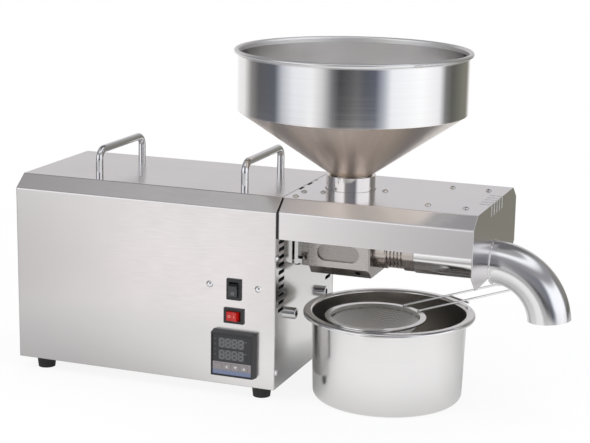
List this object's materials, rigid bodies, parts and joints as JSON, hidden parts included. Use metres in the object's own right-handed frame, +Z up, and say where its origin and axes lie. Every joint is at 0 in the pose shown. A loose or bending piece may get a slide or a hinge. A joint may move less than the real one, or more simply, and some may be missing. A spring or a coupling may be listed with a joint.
{
  "type": "screw oil press",
  "caption": "Countertop screw oil press: folded steel motor box, covered press head with hopper, cake elbow, oil pot and strainer.",
  "frame": {"origin": "bottom centre of the whole machine's box, on the surface that the feet and the pot stand on", "axes": "+X along the machine towards the press head and cake elbow, -Y towards the control panel, +Z up"},
  "size_m": [0.5912, 0.2416, 0.3532],
  "materials": {
    "steel_panel": "brushed stainless steel sheet",
    "steel_top": "brushed stainless steel",
    "steel_polished": "polished stainless steel",
    "steel_spun": "spun polished stainless steel",
    "steel_satin": "satin stainless steel",
    "steel_screw": "bright zinc plated",
    "steel_block": "ground steel",
    "steel_dark": "dark steel",
    "steel_mesh": "woven stainless wire mesh",
    "cast_housing": "painted casting",
    "motor_alloy": "bare extruded aluminium",
    "bronze": "bearing bronze",
    "rubber_black": "matt black rubber",
    "plastic_black": "matt black",
    "rocker_black": "satin black",
    "rocker_red": "translucent red",
    "controller_front": "dark smoked window",
    "key_taupe": "taupe rubber keys",
    "plastic_grey": "grey",
    "plastic_white": "off white"
  },
  "bodies": {
    "machine": {"body_cover": "steel_panel", "left_end_plate": "steel_panel", "right_end_plate": "steel_panel", "base_plate": "steel_panel", "rubber_feet": "rubber_black", "foot_screws": "steel_screw", "carrying_handles": "steel_polished", "handle_nuts": "steel_screw", "body_screws": "steel_screw", "seam_seal": "rubber_black", "black_switch_frame": "plastic_black", "red_switch_frame": "plastic_black", "controller_case": "plastic_black", "controller_face": "controller_front", "motor_housing": "motor_alloy", "motor_shields": "motor_alloy", "fan_shell": "plastic_black", "motor_cradles": "steel_satin", "run_capacitor": "plastic_white", "heater_relay": "plastic_grey", "cord_gland": "plastic_black", "gearbox_housing": "cast_housing", "gearbox_lid": "cast_housing", "gearbox_screws": "steel_screw", "output_bearing": "bronze", "press_flange": "steel_polished", "flange_bolts": "steel_screw", "feed_block": "steel_block", "temperature_probe": "bronze", "heater_cartridges": "steel_dark", "feed_neck": "steel_polished", "barrel_nut": "steel_dark", "drain_cage": "steel_dark", "press_barrel": "steel_polished", "cake_nozzle": "steel_dark", "cover_rail": "steel_satin"},
    "rotor": {"motor_rotor": "steel_dark", "motor_pinion": "steel_block", "motor_fan": "plastic_black"},
    "counter_shaft": {"counter_gear": "steel_block", "counter_pinion": "steel_block"},
    "screw": {"press_screw": "steel_block", "output_shaft": "steel_block", "output_gear": "steel_block"},
    "cover": {"head_cover": "steel_top", "cover_screws": "steel_screw", "neck_ring": "steel_satin", "barrel_saddle": "steel_satin", "cake_elbow": "steel_polished"},
    "hopper_bowl": {"hopper": "steel_spun"},
    "pot": {"oil_pot": "steel_satin"},
    "strainer": {"strainer_ring": "steel_satin", "strainer_mesh": "steel_mesh", "strainer_handle": "steel_polished"},
    "power_rocker": {"black_rocker": "rocker_black"},
    "heat_rocker": {"red_rocker": "rocker_red"},
    "key_set": {"set_key": "key_taupe"},
    "key_shift": {"shift_key": "key_taupe"},
    "key_down": {"down_key": "key_taupe"},
    "key_up": {"up_key": "key_taupe"}
  },
  "joints": [
    {"name": "rotor_spin", "type": "hinge", "parent": "machine", "child": "rotor", "pos_m": [-0.1056, 0, 0.149], "axis": [1, 0, 0], "continuous": true},
    {"name": "counter_spin", "type": "hinge", "parent": "machine", "child": "counter_shaft", "pos_m": [-0.0156, 0, 0.1115], "axis": [1, 0, 0], "continuous": true},
    {"name": "screw_spin", "type": "hinge", "parent": "machine", "child": "screw", "pos_m": [0.0644, 0, 0.149], "axis": [1, 0, 0], "continuous": true},
    {"name": "power_rocker_tilt", "type": "hinge", "parent": "machine", "child": "power_rocker", "pos_m": [-0.0297, -0.0852, 0.1146], "axis": [1, 0, 0], "range_deg": [-14, 0]},
    {"name": "heat_rocker_tilt", "type": "hinge", "parent": "machine", "child": "heat_rocker", "pos_m": [-0.0296, -0.0852, 0.0869], "axis": [0, 0, -1], "range_deg": [-14, 0]},
    {"name": "set_key_press", "type": "slide", "parent": "machine", "child": "key_set", "axis": [0, 1, 0], "range_m": [0, 0.0006], "stiffness_N_per_m": 600},
    {"name": "shift_key_press", "type": "slide", "parent": "machine", "child": "key_shift", "axis": [0, 1, 0], "range_m": [0, 0.0006], "stiffness_N_per_m": 600},
    {"name": "down_key_press", "type": "slide", "parent": "machine", "child": "key_down", "axis": [0, 1, 0], "range_m": [0, 0.0006], "stiffness_N_per_m": 600},
    {"name": "up_key_press", "type": "slide", "parent": "machine", "child": "key_up", "axis": [0, 1, 0], "range_m": [0, 0.0006], "stiffness_N_per_m": 600},
    {"name": "cover_lift", "type": "slide", "parent": "machine", "child": "cover", "axis": [0, 0, 1], "range_m": [0, 0.1]},
    {"name": "hopper_lift", "type": "slide", "parent": "cover", "child": "hopper_bowl", "axis": [0, 0, 1], "range_m": [0, 0.12]},
    {"name": "pot_slide", "type": "slide", "parent": "machine", "child": "pot", "axis": [0, -1, 0], "range_m": [0, 0.25]},
    {"name": "strainer_lift", "type": "slide", "parent": "pot", "child": "strainer", "axis": [0, 0, 1], "range_m": [0, 0.03]}
  ],
  "couplings": [
    {"joint": "counter_spin", "follows": "rotor_spin", "ratio": -0.25},
    {"joint": "screw_spin", "follows": "rotor_spin", "ratio": 0.0625}
  ]
}
